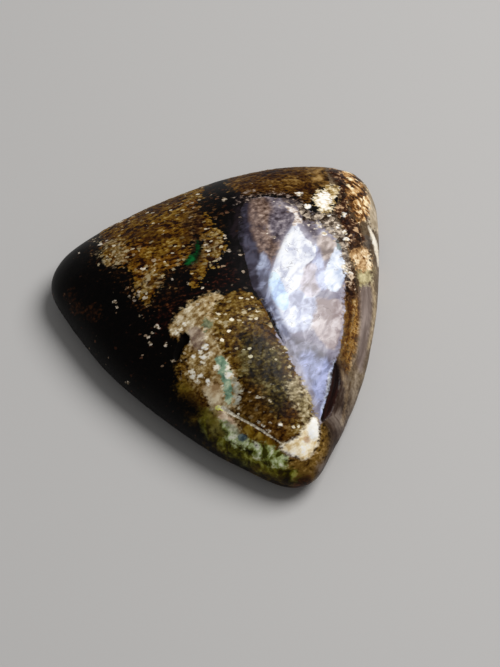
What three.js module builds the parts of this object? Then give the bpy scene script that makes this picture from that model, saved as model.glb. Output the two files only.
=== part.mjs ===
// Boulder opal: a hand-rubbed, three-cornered piece of ironstone with opal in and on it.
// It is one natural piece, so it is one solid, with a flat ground back and a rounded top.
// Millimetres, +Z up. The back rests on z = 0, and the origin is under the middle of the stone.
import * as THREE from "three";
import { mergeVertices } from "three/addons/utils/BufferGeometryUtils.js";

// The stone seen from above: its widest line, from the left corner round by the far edge.
const GIRDLE_OUTLINE = [
  [-16.5, 3.8],
  [-15.6, 6.8],
  [-12.6, 9.5],
  [-6.5, 13.3],
  [1.2, 16.7],
  [8.6, 18.4],
  [14.5, 17.8],
  [16.3, 13.7],
  [16.4, 6.1],
  [15.8, -0.5],
  [14.1, -8.1],
  [11.3, -14.8],
  [9.5, -17.9],
  [7.3, -18.5],
  [3.2, -16.6],
  [-0.9, -14.2],
  [-9.7, -6.7],
  [-14.4, -0.4],
];

// Heights and insets of the side, from the girdle.
const GIRDLE_HEIGHT = 2.6;
const BACK_INSET = 1.5;
const SHOULDER_HEIGHT = 7.2;
const SHOULDER_INSET = 3.3;
const SHOULDER_BOW = 1.7;

// The top: a low dome, highest near the middle, that falls away to the corners.
const CROWN = { x: 1.5, y: 0.8, height: 9.3 };
const CROWN_FALL = 2.5;
const CROWN_REACH = 15;
const CROWN_BOW = 2.2;

// The polished opal face: a nearly flat slope from the ridge line down to the right shoulder.
const FACE_POINT = { x: 5.0, y: -1.7, height: 9.0 };
const FACE_SLOPE = { x: -0.21, y: 0.03 };
const FACE_BLEND = 1.0;

// The oval swelling of sandy matrix in front of the ridge line.
const SWELL = { x: 3.0, y: -9.0, long: 9.0, wide: 5.0, turn: -1.15, rise: 0.5 };
const SWELL_EDGE = 0.4;

// How softly the top turns into the side: crisp along the right shoulder, round elsewhere.
const SOFT_SHOULDER = 3.0;
const CRISP_SHOULDER = 0.6;
const CRISP_CENTRE = -0.15;
const CRISP_SPREAD = 1.0;
const BACK_SHOULDER = 1.6;

// Facets: cells across each side of the block that the surface is drawn from.
const CELLS_ACROSS = 28;

// The spokes that find the surface start inside the stone and lean outwards as they near its side.
const SPOKE_HEIGHT = 3.0;
const SPOKE_REACH = 0.72;
const SPOKE_LENGTH = 30;
const SHOULDER_LEAN = THREE.MathUtils.degToRad(17);
const BACK_LEAN = THREE.MathUtils.degToRad(47);
const SIDE_STARTS = THREE.MathUtils.degToRad(62);
const HALVINGS = 40;

// The girdle as a distance from the axis for any bearing.
function girdleReader() {
  const points = GIRDLE_OUTLINE.map(([x, y]) => new THREE.Vector3(x, y, 0));
  const curve = new THREE.CatmullRomCurve3(points, true, "centripetal");
  const samples = curve
    .getPoints(1440)
    .map((p) => [Math.atan2(p.y, p.x), Math.hypot(p.x, p.y)])
    .sort((a, b) => a[0] - b[0]);
  return (bearing) => {
    let low = 0;
    let high = samples.length - 1;
    if (bearing <= samples[low][0] || bearing >= samples[high][0]) return samples[low][1];
    while (high - low > 1) {
      const middle = (low + high) >> 1;
      if (samples[middle][0] > bearing) high = middle;
      else low = middle;
    }
    const [before, near] = samples[low];
    const [after, far] = samples[high];
    const share = (bearing - before) / (after - before || 1);
    return near + (far - near) * share;
  };
}

const girdleAt = girdleReader();

// The larger of two distances, with the corner between them rounded over the given width.
function roundedMax(a, b, width) {
  const overlap = Math.max(width - Math.abs(a - b), 0) / width;
  return Math.max(a, b) + (overlap * overlap * width) / 4;
}

// 0 outside the swelling, 1 on it, with a soft edge.
function swellShare(x, y) {
  const dx = x - SWELL.x;
  const dy = y - SWELL.y;
  const along = (dx * Math.cos(SWELL.turn) + dy * Math.sin(SWELL.turn)) / SWELL.long;
  const across = (dy * Math.cos(SWELL.turn) - dx * Math.sin(SWELL.turn)) / SWELL.wide;
  const distance = Math.hypot(along, across);
  return 1 - THREE.MathUtils.smoothstep(distance, 1 - SWELL_EDGE, 1 + SWELL_EDGE);
}

function topHeight(x, y) {
  const away = Math.hypot(x - CROWN.x, y - CROWN.y) / CROWN_REACH;
  const dome = CROWN.height - CROWN_FALL * away ** CROWN_BOW;
  const face =
    FACE_POINT.height + FACE_SLOPE.x * (x - FACE_POINT.x) + FACE_SLOPE.y * (y - FACE_POINT.y);
  return -roundedMax(-dome, -face, FACE_BLEND) + SWELL.rise * swellShare(x, y);
}

// How far the side stands in from the girdle at a height.
function sideInset(z) {
  if (z < GIRDLE_HEIGHT) return BACK_INSET * (1 - z / GIRDLE_HEIGHT) ** 2;
  const up = (z - GIRDLE_HEIGHT) / (SHOULDER_HEIGHT - GIRDLE_HEIGHT);
  return SHOULDER_INSET * up ** SHOULDER_BOW;
}

function shoulderWidth(bearing) {
  const crisp = Math.exp(-(((bearing - CRISP_CENTRE) / CRISP_SPREAD) ** 4));
  return SOFT_SHOULDER + (CRISP_SHOULDER - SOFT_SHOULDER) * crisp;
}

// Negative inside the stone, positive outside.
function outside(x, y, z) {
  const bearing = Math.atan2(y, x);
  const top = z - topHeight(x, y);
  const side = Math.hypot(x, y) - girdleAt(bearing) + sideInset(z);
  const rounded = roundedMax(top, side, shoulderWidth(bearing));
  return roundedMax(rounded, -z, BACK_SHOULDER);
}

// A block's point moved to the unit ball, so that the cells stay square and have no pole.
function ballPoint(a, b, c) {
  const squared = (u, v) => Math.sqrt(1 - u ** 2 / 2 - v ** 2 / 2 + (u * v) ** 2 / 3);
  return new THREE.Vector3(a * squared(b, c), b * squared(c, a), c * squared(a, b));
}

// A spoke from its angle off the upright: how far out it starts, as a share, and how it leans.
function spokeOf(angle) {
  const fromBack = Math.PI - angle;
  const shareOf = (off) => Math.sin(off / 2) / Math.sin(SIDE_STARTS / 2);
  if (angle < SIDE_STARTS)
    return { share: shareOf(angle), lean: SHOULDER_LEAN * shareOf(angle) ** 3 };
  if (fromBack < SIDE_STARTS)
    return { share: shareOf(fromBack), lean: Math.PI - BACK_LEAN * shareOf(fromBack) ** 3 };
  const down = (angle - SIDE_STARTS) / (Math.PI - 2 * SIDE_STARTS);
  return { share: 1, lean: THREE.MathUtils.lerp(SHOULDER_LEAN, Math.PI - BACK_LEAN, down) };
}

// The point where the spoke through a ball's point meets the stone's surface.
function surfacePoint(ball) {
  const bearing = Math.atan2(ball.y, ball.x);
  const { share, lean } = spokeOf(Math.acos(THREE.MathUtils.clamp(ball.z, -1, 1)));
  const start = SPOKE_REACH * share * girdleAt(bearing);
  const at = (length) => {
    const r = start + length * Math.sin(lean);
    return [r * Math.cos(bearing), r * Math.sin(bearing), SPOKE_HEIGHT + length * Math.cos(lean)];
  };
  let near = 0;
  let far = SPOKE_LENGTH;
  for (let i = 0; i < HALVINGS; i += 1) {
    const middle = (near + far) / 2;
    if (outside(...at(middle)) < 0) near = middle;
    else far = middle;
  }
  return at(near);
}

function stoneGeometry() {
  const block = new THREE.BoxGeometry(2, 2, 2, CELLS_ACROSS, CELLS_ACROSS, CELLS_ACROSS);
  block.deleteAttribute("normal");
  block.deleteAttribute("uv");
  const geometry = mergeVertices(block, 1e-4);
  const position = geometry.getAttribute("position");
  for (let i = 0; i < position.count; i += 1) {
    const ball = ballPoint(position.getX(i), position.getY(i), position.getZ(i));
    const [x, y, z] = surfacePoint(ball);
    position.setXYZ(i, x, y, Math.abs(z) < 1e-4 ? 0 : z);
  }
  geometry.computeBoundingBox();
  const middle = geometry.boundingBox.getCenter(new THREE.Vector3());
  geometry.translate(-middle.x, -middle.y, 0);
  geometry.computeVertexNormals();
  return geometry;
}

const ironstone = new THREE.MeshStandardMaterial({
  name: "ironstone_and_opal",
  color: 0x5a4022,
  roughness: 0.28,
  metalness: 0,
});

const stone = new THREE.Mesh(stoneGeometry(), ironstone);
stone.name = "boulder_opal";

const model = new THREE.Group();
model.add(stone);

export default model;
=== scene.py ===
import math

import bmesh
import bpy
import numpy as np
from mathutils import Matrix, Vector, noise
from mathutils.bvhtree import BVHTree


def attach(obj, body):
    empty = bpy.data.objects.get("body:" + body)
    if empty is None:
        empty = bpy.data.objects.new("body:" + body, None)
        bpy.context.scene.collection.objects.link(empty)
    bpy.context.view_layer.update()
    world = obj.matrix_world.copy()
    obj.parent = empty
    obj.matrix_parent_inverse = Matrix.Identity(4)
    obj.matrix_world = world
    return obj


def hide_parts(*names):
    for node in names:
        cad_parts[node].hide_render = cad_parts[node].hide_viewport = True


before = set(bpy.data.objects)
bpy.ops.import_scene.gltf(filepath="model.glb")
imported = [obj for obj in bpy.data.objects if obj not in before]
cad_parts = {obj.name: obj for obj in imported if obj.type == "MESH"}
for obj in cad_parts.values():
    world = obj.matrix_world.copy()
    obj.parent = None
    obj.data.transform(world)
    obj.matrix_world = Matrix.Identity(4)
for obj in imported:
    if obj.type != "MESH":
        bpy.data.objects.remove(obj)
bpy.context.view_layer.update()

MM = 0.001


# The camera. The stone was photographed from in front and well above, from about a forearm away.
# PHOTO_SIZE is the picture in pixels, and every traced outline below is in pixels of that picture.
PHOTO_SIZE = (500, 667)
CAMERA_RISE = math.radians(58)
CAMERA_DISTANCE = 220 * MM
CAMERA_AIM = Vector((3.4, -1.8, 3.0)) * MM
PIXELS_PER_MM = 10.16
SENSOR = 36.0

camera_data = bpy.data.cameras.new("camera")
camera_data.sensor_width = SENSOR
camera_data.lens = SENSOR * PIXELS_PER_MM * CAMERA_DISTANCE / MM / PHOTO_SIZE[1]
camera_data.clip_start = 10 * MM
camera = bpy.data.objects.new("camera", camera_data)
bpy.context.scene.collection.objects.link(camera)
camera_back = Vector((0, -math.cos(CAMERA_RISE), math.sin(CAMERA_RISE)))
camera.location = CAMERA_AIM + camera_back * CAMERA_DISTANCE
camera.rotation_euler = (math.pi / 2 - CAMERA_RISE, 0, 0)
bpy.context.scene.camera = camera


def seen_at(places):
    """The photo's pixels at which these places, an array of points, are seen."""
    away = places - np.array(camera.location)
    depth = -(away @ np.array(camera_back))
    up = np.cross(np.array(camera_back), (1, 0, 0))
    scale = PIXELS_PER_MM / MM * CAMERA_DISTANCE / depth
    across = PHOTO_SIZE[0] / 2 + away[:, 0] * scale
    down = PHOTO_SIZE[1] / 2 - (away @ up) * scale
    return np.stack([across, down], 1)


# The body of the stone: one piece of ironstone and opal, sawn flat behind and rubbed round by hand.
# Its cells are those of the solid, split fine enough to carry sand grains and laid on its rounded
# form.
CELL_SPLITS = 4
ROUNDING_LEVELS = 3
FLAT_BACK = 0.01 * MM
SAME_POINT = 0.001 * MM
CELL_BEND = 1.2
CELL_SKEW = 1.5

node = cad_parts["boulder_opal"]
body = bmesh.new()
body.from_mesh(node.data)
bmesh.ops.remove_doubles(body, verts=body.verts, dist=SAME_POINT)
bmesh.ops.join_triangles(
    body, faces=body.faces, angle_face_threshold=CELL_BEND, angle_shape_threshold=CELL_SKEW
)

rounded_mesh = bpy.data.meshes.new("rounded")
body.to_mesh(rounded_mesh)
rounded = bpy.data.objects.new("rounded", rounded_mesh)
bpy.context.scene.collection.objects.link(rounded)
smoothing = rounded.modifiers.new("smoothing", "SUBSURF")
smoothing.levels = smoothing.render_levels = ROUNDING_LEVELS
rounded_form = BVHTree.FromObject(rounded, bpy.context.evaluated_depsgraph_get())
bpy.data.objects.remove(rounded)

above_back = [f for f in body.faces if max(v.co.z for v in f.verts) > FLAT_BACK]
split = list({edge for face in above_back for edge in face.edges})
bmesh.ops.subdivide_edges(body, edges=split, cuts=CELL_SPLITS, use_grid_fill=True)
for vertex in body.verts:
    if vertex.co.z > FLAT_BACK:
        vertex.co = rounded_form.find_nearest(vertex.co)[0]
bmesh.ops.recalc_face_normals(body, faces=body.faces)
stone_mesh = bpy.data.meshes.new("boulder_opal_stone")
body.to_mesh(stone_mesh)
body.free()
stone_mesh.shade_smooth()
stone = bpy.data.objects.new("boulder_opal_stone", stone_mesh)
bpy.context.scene.collection.objects.link(stone)


# How the markings lie on the stone. Where the photo shows the surface, a point's own pixel says
# which marking it is in. Past the edge of what shows, the markings nearest the edge run on down the
# side, turned back on themselves and strayed, because the real ones can't be seen there.
BEARINGS = 240
RUN_ON = 0.55
STRAY = 14.0
STRAY_RAMP = 20.0
STRAY_SIZE = 3.5 * MM
STRAY_SEED = 7
MARK_REACH = 25.0
SPOT_DRAWN = 1.3

places = np.empty(len(stone_mesh.vertices) * 3)
stone_mesh.vertices.foreach_get("co", places)
places = places.reshape(-1, 3)
normals = np.empty(len(stone_mesh.vertices) * 3)
stone_mesh.vertices.foreach_get("normal", normals)
normals = normals.reshape(-1, 3)
pixels = seen_at(places)
in_view = (normals * (np.array(camera.location) - places)).sum(1) > 0

turn = np.arctan2(places[:, 1], places[:, 0]) / (2 * math.pi) % 1 * BEARINGS
middle = seen_at(np.zeros((1, 3)))[0]
reach = np.where(in_view, np.hypot(*(pixels - middle).T), 0)
edge_pixels = np.empty((BEARINGS, 2))
edge_places = np.empty((BEARINGS, 3))
for bearing in range(BEARINGS):
    gap = np.abs((turn - bearing - 0.5 + BEARINGS / 2) % BEARINGS - BEARINGS / 2)
    farthest = np.argmax(np.where(gap < 1, reach, -1))
    edge_pixels[bearing] = pixels[farthest]
    edge_places[bearing] = places[farthest]

hidden = np.nonzero(~in_view)[0]
sector = turn[hidden].astype(int) % BEARINGS
past = np.linalg.norm(places[hidden] - edge_places[sector], axis=1)
inward = middle - edge_pixels[sector]
inward /= np.linalg.norm(inward, axis=1)[:, None]
noise.seed_set(STRAY_SEED)
strays = np.array([noise.noise_vector(Vector(place) / STRAY_SIZE) for place in places[hidden]])
run_on = past[:, None] / MM * PIXELS_PER_MM * RUN_ON
stray_share = np.minimum(run_on / STRAY_RAMP, 1)
pixels[hidden] = edge_pixels[sector] + inward * run_on + strays[:, :2] * stray_share * STRAY


def keep_on_stone(name, values):
    attribute = stone_mesh.attributes.new(name, "FLOAT", "POINT")
    attribute.data.foreach_set("value", np.ascontiguousarray(values, np.float32))


def rounded_line(points, closed):
    """The traced points joined by a smooth curve."""
    at = np.array(points, float)
    if closed:
        before, after, beyond = np.roll(at, 1, 0), np.roll(at, -1, 0), np.roll(at, -2, 0)
    else:
        before = np.vstack([at[:1], at[:-1]])[:-1]
        after = at[1:]
        beyond = np.vstack([at[2:], at[-1:]])
        at = at[:-1]
    curve = [
        at + (after - before) * t / 2
        + (before - 2.5 * at + 2 * after - beyond / 2) * t**2
        + (1.5 * (at - after) + (beyond - before) / 2) * t**3
        for t in (0, 0.25, 0.5, 0.75)
    ]
    line = np.stack(curve, 1).reshape(-1, at.shape[1])
    return np.vstack([line, line[:1] if closed else [points[-1]]])


def near_line(line):
    """Which of the stone's points are close enough to a line to be measured against it."""
    low, high = line[:, :2].min(0) - MARK_REACH, line[:, :2].max(0) + MARK_REACH
    return np.nonzero(((pixels > low) & (pixels < high)).all(1))[0]


def across_leg(x, y, start, end):
    """Where the nearest point of a leg of a line lies along it, 0 to 1, and how far off it is."""
    (ax, ay), (dx, dy) = start[:2], end[:2] - start[:2]
    share = np.clip(((x - ax) * dx + (y - ay) * dy) / (dx * dx + dy * dy + 1e-9), 0, 1)
    return share, np.hypot(x - ax - share * dx, y - ay - share * dy)


def mark_outlines(outlines):
    """Keeps on the stone how far inside each traced outline each point is, in millimetres."""
    for name, outline in outlines.items():
        line = rounded_line(outline, closed=True)
        near = near_line(line)
        x, y = pixels[near].T
        nearest = np.full(len(near), MARK_REACH)
        inside = np.zeros(len(near), bool)
        for start, end in zip(line[:-1], line[1:]):
            nearest = np.minimum(nearest, across_leg(x, y, start, end)[1])
            (ax, ay), (bx, by) = start, end
            if ay != by:
                inside ^= ((ay > y) != (by > y)) & (x < ax + (bx - ax) * (y - ay) / (by - ay))
        within_line = np.full(len(pixels), -MARK_REACH)
        within_line[near] = np.where(inside, 1, -1) * nearest
        keep_on_stone(name, within_line / PIXELS_PER_MM)


def mark_lines(lines):
    """The same for lines, each point traced as (across, down, half the line's width)."""
    for name, points in lines.items():
        line = rounded_line(points, closed=False)
        near = near_line(line)
        x, y = pixels[near].T
        within_line = np.full(len(pixels), -MARK_REACH)
        for start, end in zip(line[:-1], line[1:]):
            share, away = across_leg(x, y, start, end)
            half_width = start[2] + (end[2] - start[2]) * share
            within_line[near] = np.maximum(within_line[near], half_width - away)
        keep_on_stone(name, within_line / PIXELS_PER_MM)


def mark_spots(groups):
    """The same for groups of round spots, each traced as (across, down, half its width)."""
    x, y = pixels.T
    for name, spots in groups.items():
        within_spot = np.full(len(pixels), -MARK_REACH)
        for spot_x, spot_y, radius in spots:
            away = np.hypot((x - spot_x) / SPOT_DRAWN, y - spot_y)
            within_spot = np.maximum(within_spot, radius - away)
        keep_on_stone(name, within_spot / PIXELS_PER_MM)


# The finish is one material, mixed up from the ironstone outwards: each marking is laid over the
# last. Grains, flecks and clouds are shared by all of them, in real sizes.
material = bpy.data.materials.new("rubbed_ironstone_and_opal")
material.use_nodes = True
material.node_tree.nodes.clear()


class Wire:
    """A socket in a node tree, or the bare tree. Arithmetic on wires adds its Math nodes."""

    def __init__(self, tree, socket=None):
        self.tree, self.socket = tree, socket

    def node(self, kind, settings, inputs, output=0):
        made = self.tree.nodes.new(kind)
        for name, value in settings.items():
            if name == "stops":
                lay_stops(made.color_ramp, value)
            elif getattr(made, name) != value:
                setattr(made, name, value)
        for key, value in inputs.items():
            if isinstance(value, Wire):
                self.tree.links.new(value.socket, made.inputs[key])
            else:
                made.inputs[key].default_value = value
        return Wire(self.tree, made.outputs[output])

    def math(self, operation, first, second):
        return self.node("ShaderNodeMath", {"operation": operation}, {0: first, 1: second})

    def __add__(self, other):
        return self.math("ADD", self, other)

    __radd__ = __add__

    def __sub__(self, other):
        return self.math("SUBTRACT", self, other)

    def __rsub__(self, other):
        return self.math("SUBTRACT", other, self)

    def __mul__(self, other):
        return self.math("MULTIPLY", self, other)

    __rmul__ = __mul__

    def step(self, low, high):
        """0 at low, 1 at high and beyond, and a soft rise between."""
        settings = {"interpolation_type": "SMOOTHSTEP", "clamp": False}
        inputs = {"Value": self, "From Min": low, "From Max": high}
        return self.node("ShaderNodeMapRange", settings, inputs)

    def stretched(self, length, width, height, slant, shift=0.0):
        """Places measured in grains of this size, in millimetres, slanted across the stone."""
        grain = (length * MM, width * MM, height * MM)
        start = (shift * MM, shift * MM, shift * MM)
        turn = math.radians(slant)
        if self.tree.type == "SHADER":
            inputs = {"Vector": self, "Location": start, "Rotation": (0, 0, turn), "Scale": grain}
            return self.node("ShaderNodeMapping", {"vector_type": "TEXTURE"}, inputs)
        moved = self.node("ShaderNodeVectorMath", {"operation": "SUBTRACT"}, {0: self, 1: start})
        inputs = {"Vector": moved, "Angle": -turn}
        turned = self.node("ShaderNodeVectorRotate", {"rotation_type": "Z_AXIS"}, inputs)
        return self.node("ShaderNodeVectorMath", {"operation": "DIVIDE"}, {0: turned, 1: grain})

    def clouds(self, detail=2.0, rough=0.5, sway=0.0):
        inputs = {"Vector": self, "Scale": 1.0}
        inputs.update({"Detail": detail, "Roughness": rough, "Distortion": sway})
        return self.node("ShaderNodeTexNoise", {}, inputs)

    def pieces(self):
        """Pieces: how far a point is from its piece's middle, and two chance numbers of it."""
        away = self.node("ShaderNodeTexVoronoi", {}, {"Vector": self, "Scale": 1.0}, "Distance")
        chance = Wire(self.tree, away.socket.node.outputs["Color"])
        first = self.node("ShaderNodeSeparateColor", {}, {"Color": chance}, "Red")
        return away, first, Wire(self.tree, first.socket.node.outputs["Green"])


def lay_stops(ramp, stops):
    """Gives a colour ramp its stops, each a place from 0 to 1 and a colour."""
    while len(ramp.elements) < len(stops):
        ramp.elements.new(1)
    ramp.elements.foreach_set("position", [place for place, colour in stops])
    ramp.elements.foreach_set("color", [channel for place, colour in stops for channel in colour])


def paint(code):
    """A colour from its six-figure code, as light."""
    shares = [int(code[i : i + 2], 16) / 255 for i in (0, 2, 4)]
    light = [((s + 0.055) / 1.055) ** 2.4 if s > 0.04045 else s / 12.92 for s in shares]
    return (*light, 1.0)


# Sand grains are drawn out along the bedding, which runs nearly straight across the stone.
BEDDING_SLANT = 10


def dashes_at(where):
    return where.stretched(0.62, 0.38, 0.45, BEDDING_SLANT).clouds(detail=3.0, rough=0.6)


def fine_at(where):
    return where.stretched(0.34, 0.24, 0.26, BEDDING_SLANT).clouds(detail=1.0)


finish_tree = Wire(material.node_tree)
where = finish_tree.node("ShaderNodeTexCoord", {}, {}, "Object")

# The textures: grains, clouds and flecks in real sizes, and mixtures of them.
dashes = dashes_at(where)
fine = fine_at(where)
grains = dashes * 0.6 + fine * 0.4
patches = where.stretched(2.6, 1.9, 2.2, BEDDING_SLANT).clouds(detail=3.0, rough=0.55)
blotches = where.stretched(1.3, 0.9, 1.0, 35, shift=2.3).clouds(detail=3.0, rough=0.6)
tint = where.stretched(3.4, 2.4, 2.8, 40, shift=7.3).clouds(detail=2.0)
fleck_away, fleck_luck, fleck_shade = where.stretched(0.6, 0.4, 0.48, 8, shift=3.7).pieces()
veils = where.stretched(1.6, 0.9, 1.2, 60).clouds(detail=2.0, rough=0.5, sway=0.6)
mottle = where.stretched(0.55, 0.42, 0.5, 30).clouds(detail=2.0, rough=0.55)
sand = grains * 0.6 + patches * 0.2 + blotches * 0.2
clumps = dashes * 0.6 + blotches * 0.4
speckle = mottle * 0.45 + fine * 0.3 + patches * 0.25

# How the edges of the markings stray: broken like grain, or flowing like opal.
ragged = (grains - 0.5) * 7 + (patches - 0.5) * 4
flowing = (veils - 0.5) * 4 + (mottle - 0.5) * 2


def on_stone(name):
    return finish_tree.node("ShaderNodeAttribute", {"attribute_name": name}, {}, "Fac")


def within(name, soft=0.1, stray=0.3, by=ragged):
    """How far a point is in a marking, 0 to 1. Its edge strays by about so many millimetres."""
    return (on_stone(name) + by * stray).step(-soft, soft)


def tones(texture, palette, low=0.38, high=0.64):
    """A texture turned into a palette's colours, dark to light, between two of its values."""
    codes = palette.split()
    spread = (high - low) / (len(codes) - 1)
    stops = [(low + spread * i, paint(code)) for i, code in enumerate(codes)]
    return finish_tree.node("ShaderNodeValToRGB", {"stops": stops}, {"Fac": texture})


def flecks(many):
    """Separate grains, each of its own size, in about this share of the places for one."""
    swell = (fleck_luck - (1 - many)) * 4
    half_width = swell.math("MINIMUM", swell, 0.28 + 0.3 * many)
    return (half_width - fleck_away + (fine - 0.5) * 0.9).step(0.0, 0.1)


# A Mix node's sockets: its share, the colour below, the colour laid over it and the result.
MIX_SHARE, MIX_BELOW, MIX_OVER, MIX_RESULT = 0, 6, 7, 2


class Finish:
    """What the surface is so far: its colour, how rough it is and how much polish lies over it."""

    def __init__(self, colour, rough, polish):
        self.colour, self.rough, self.polish = colour, rough, polish

    def lay(self, share, colour):
        inputs = {MIX_SHARE: share, MIX_BELOW: self.colour, MIX_OVER: colour}
        self.colour = finish_tree.node("ShaderNodeMix", {"data_type": "RGBA"}, inputs, MIX_RESULT)

    def rub(self, share, rough, polish):
        self.rough = self.rough + (rough - self.rough) * share
        self.polish = self.polish + (polish - self.polish) * share

    def lay_matrix(self, share, base, dark, pale, dark_many=0.3, pale_many=0.3, texture=sand):
        """Sandstone grains: a mixed base with dark clumps and pale flecks in it."""
        self.lay(share, tones(texture, base, low=0.4, high=0.62))
        self.lay(share * clumps.step(0.39 + 0.2 * dark_many, 0.34 + 0.2 * dark_many), paint(dark))
        self.lay(share * flecks(pale_many), tones(fleck_shade, pale, low=0.0, high=1.0))


# Bare ironstone: nearly black, with dull red grains, a rusty smear, a dusting of brown grains and
# small pale grains of quartz. It runs under every other marking.
IRONSTONE_OUTLINES = {
    "red_grains": [
        (150, 290), (165, 287), (190, 289), (203, 286), (225, 268), (245, 262), (252, 285),
        (262, 300), (250, 293), (233, 290), (212, 293), (195, 299), (180, 312), (170, 327),
        (155, 322), (146, 307),
    ],
    "rusty_smear": [
        (68, 296), (76, 298), (86, 306), (97, 307), (99, 315), (94, 321), (84, 316), (72, 310),
    ],
    "peppered": [
        (199, 205), (222, 190), (236, 200), (240, 225), (244, 250), (252, 280), (262, 300),
        (250, 292), (235, 290), (214, 290), (200, 292), (208, 272), (220, 260), (227, 244),
        (214, 228),
    ],
}
IRONSTONE_SPOTS = {
    "quartz": [
        (113, 293, 1.0), (115, 302, 1.3), (117.5, 307, 0.9), (139.4, 315.7, 1.5),
        (156.8, 327, 1.7), (164.8, 344.5, 1.7), (173.5, 361, 1.5), (148, 337, 0.9),
        (152, 333, 0.9), (150, 343, 0.9), (129, 297, 1.1), (135, 300, 1.1), (172, 279, 1.5),
        (188, 283.5, 1.2), (96, 244, 1.0), (224, 199, 2.0), (223, 252, 1.0), (229, 250.5, 1.3),
        (217.5, 258, 2.6), (211, 263, 1.6), (78, 252, 0.8), (128, 383, 0.9), (186, 317, 1.4),
    ],
}

mark_outlines(IRONSTONE_OUTLINES)
mark_spots(IRONSTONE_SPOTS)

finish = Finish(tones(grains, "010000 030100 080302 2a1008", low=0.42, high=0.76),
                rough=0.45, polish=0.012)
finish.lay(within("red_grains", soft=0.6, stray=0.8),
           tones(grains, "020000 0a0201 240b05 5c2c1c", low=0.44, high=0.68))
finish.lay(within("rusty_smear", soft=0.4, stray=0.5) * 0.6, tones(grains, "080301 1e0d04 4a2810"))
finish.lay(flecks(0.16) * patches.step(0.4, 0.56),
           tones(fleck_shade, "120602 341a0e 5e3e2c a08c74", low=0.1, high=1.0))
finish.lay(within("peppered", soft=0.5, stray=0.8) * flecks(0.34),
           tones(fleck_shade, "2a1208 5c3c28 9c8268 dcccb4", low=0.1, high=1.0))
finish.lay(within("quartz", soft=0.04, stray=0.1), tones(fine, "50402e 94846c dccebc"))


# Sandy matrix: golden-brown sandstone grains set in the ironstone in a broad patch and a streak,
# paler and coarser at the borders, with one dark green fleck of opal in the gap between them.
SANDY_OUTLINES = {
    "sandy_patch": [
        (99, 225), (100, 240), (98, 247), (104, 253), (105, 262), (110, 266.5), (119, 267.5),
        (127, 267.5), (132, 273), (134, 281), (138, 290), (141, 297), (146, 303), (150, 304),
        (150, 298), (156, 293), (159, 288), (166, 286), (166, 278), (164, 272), (170, 269),
        (178, 264), (184, 262), (189, 252), (192, 243), (196, 236), (206, 233), (213, 226),
        (211, 219), (198, 210), (200, 200), (199, 180), (140, 195), (95, 215),
    ],
    "sandy_streak": [
        (199, 234), (206, 231), (214, 229.5), (221, 233), (223, 240), (227, 244), (223, 250),
        (218, 257), (216, 264), (208, 268), (204, 275), (201, 281), (199, 287), (193.5, 289),
        (190.5, 283), (191, 273), (195, 264.5), (200, 257), (201, 249),
    ],
    "pale_sand": [
        (99, 240), (112, 240), (122, 246), (126, 258), (122, 266), (110, 266), (102, 258),
    ],
    "pale_lobe": [
        (138, 276), (150, 270), (160, 275), (163, 284), (155, 292), (150, 302), (144, 300),
        (140, 290),
    ],
    "pale_streak": [
        (203, 236), (213, 233), (219, 240), (219, 250), (214, 256), (207, 254), (203, 246),
    ],
    "dark_gap": [
        (185, 222), (191, 212), (198, 209), (201, 222), (200, 234), (199, 240), (202, 248),
        (200, 258), (194, 266), (188, 268), (190, 262), (193, 252), (190, 244), (188, 234),
    ],
    "green_fleck": [
        (196.3, 239.5), (199.3, 241), (200.6, 247), (199.6, 253), (195.5, 260.5), (187.5, 264.8),
        (184.8, 262.6), (189.5, 258), (193.8, 252), (194.6, 245),
    ],
}
SANDY_SPOTS = {
    "green_glow": [(191.5, 258.5, 2.6), (195.5, 254, 1.6), (186.8, 263.2, 1.6)],
}

mark_outlines(SANDY_OUTLINES)
mark_spots(SANDY_SPOTS)

GOLD_SAND = "1e0500 401e00 5c3c04 7c5c18 a08850"
PALE_GRAIN = "6c5c3c 94845c bcae8c ece2cc"
in_sandy_patch = within("sandy_patch", soft=0.06, stray=0.4)
sand_border = (on_stone("sandy_patch") + ragged * 0.9).step(-1.4, 0.2)
finish.lay(sand_border * 0.75, tones(grains, "030100 120600 2c1604 543412", low=0.42, high=0.66))
finish.lay(sand_border * flecks(0.3),
           tones(fleck_shade, "3c240c 806440 c8b894", low=0.1, high=1.0))
finish.lay_matrix(in_sandy_patch, GOLD_SAND, "180300", PALE_GRAIN, dark_many=0.45,
                  pale_many=0.34 + (tint - 0.5) * 1.4)
finish.lay(in_sandy_patch * patches.step(0.5, 0.38) * 0.5, tones(grains, "140500 341c02 543a0c"))
finish.lay(in_sandy_patch * tint.step(0.52, 0.64) * dashes.step(0.48, 0.54) * 0.4,
           tones(fine, "643600 885210"))
finish.rub(in_sandy_patch, rough=0.5, polish=0.03)
finish.lay_matrix(within("sandy_streak", soft=0.06, stray=0.4), GOLD_SAND, "1e0800", PALE_GRAIN,
                  dark_many=0.5, pale_many=0.4)
in_pale_sand = (
    within("pale_sand", soft=0.5, stray=0.5)
    + within("pale_lobe", soft=0.5, stray=0.4) * 0.8
    + within("pale_streak", soft=0.4, stray=0.4) * 0.8
)
finish.lay(in_pale_sand * blotches.step(0.46, 0.58) * 0.5, tones(fine, "5c4c28 8c7c54 bcae90"))
finish.lay(in_pale_sand * flecks(0.6),
           tones(fleck_shade, "6c5c38 948462 bcb094 f0e8dc", low=0.0, high=1.0))
finish.lay(within("dark_gap", soft=0.3, stray=0.4) * 0.8,
           tones(grains, "060100 1c0a02 402610 7c6038"))
finish.lay(within("green_fleck", soft=0.25, stray=0.2) * 0.8, paint("050300"))
finish.lay(within("green_fleck", soft=0.08, stray=0.15) * mottle.step(0.4, 0.52),
           tones(mottle, "000a04 00240c 043a14"))
finish.lay(within("green_fleck", soft=0.08) * within("green_glow", soft=0.3, stray=0.15),
           tones(mottle, "002c0c 0a5c28"))


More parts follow.
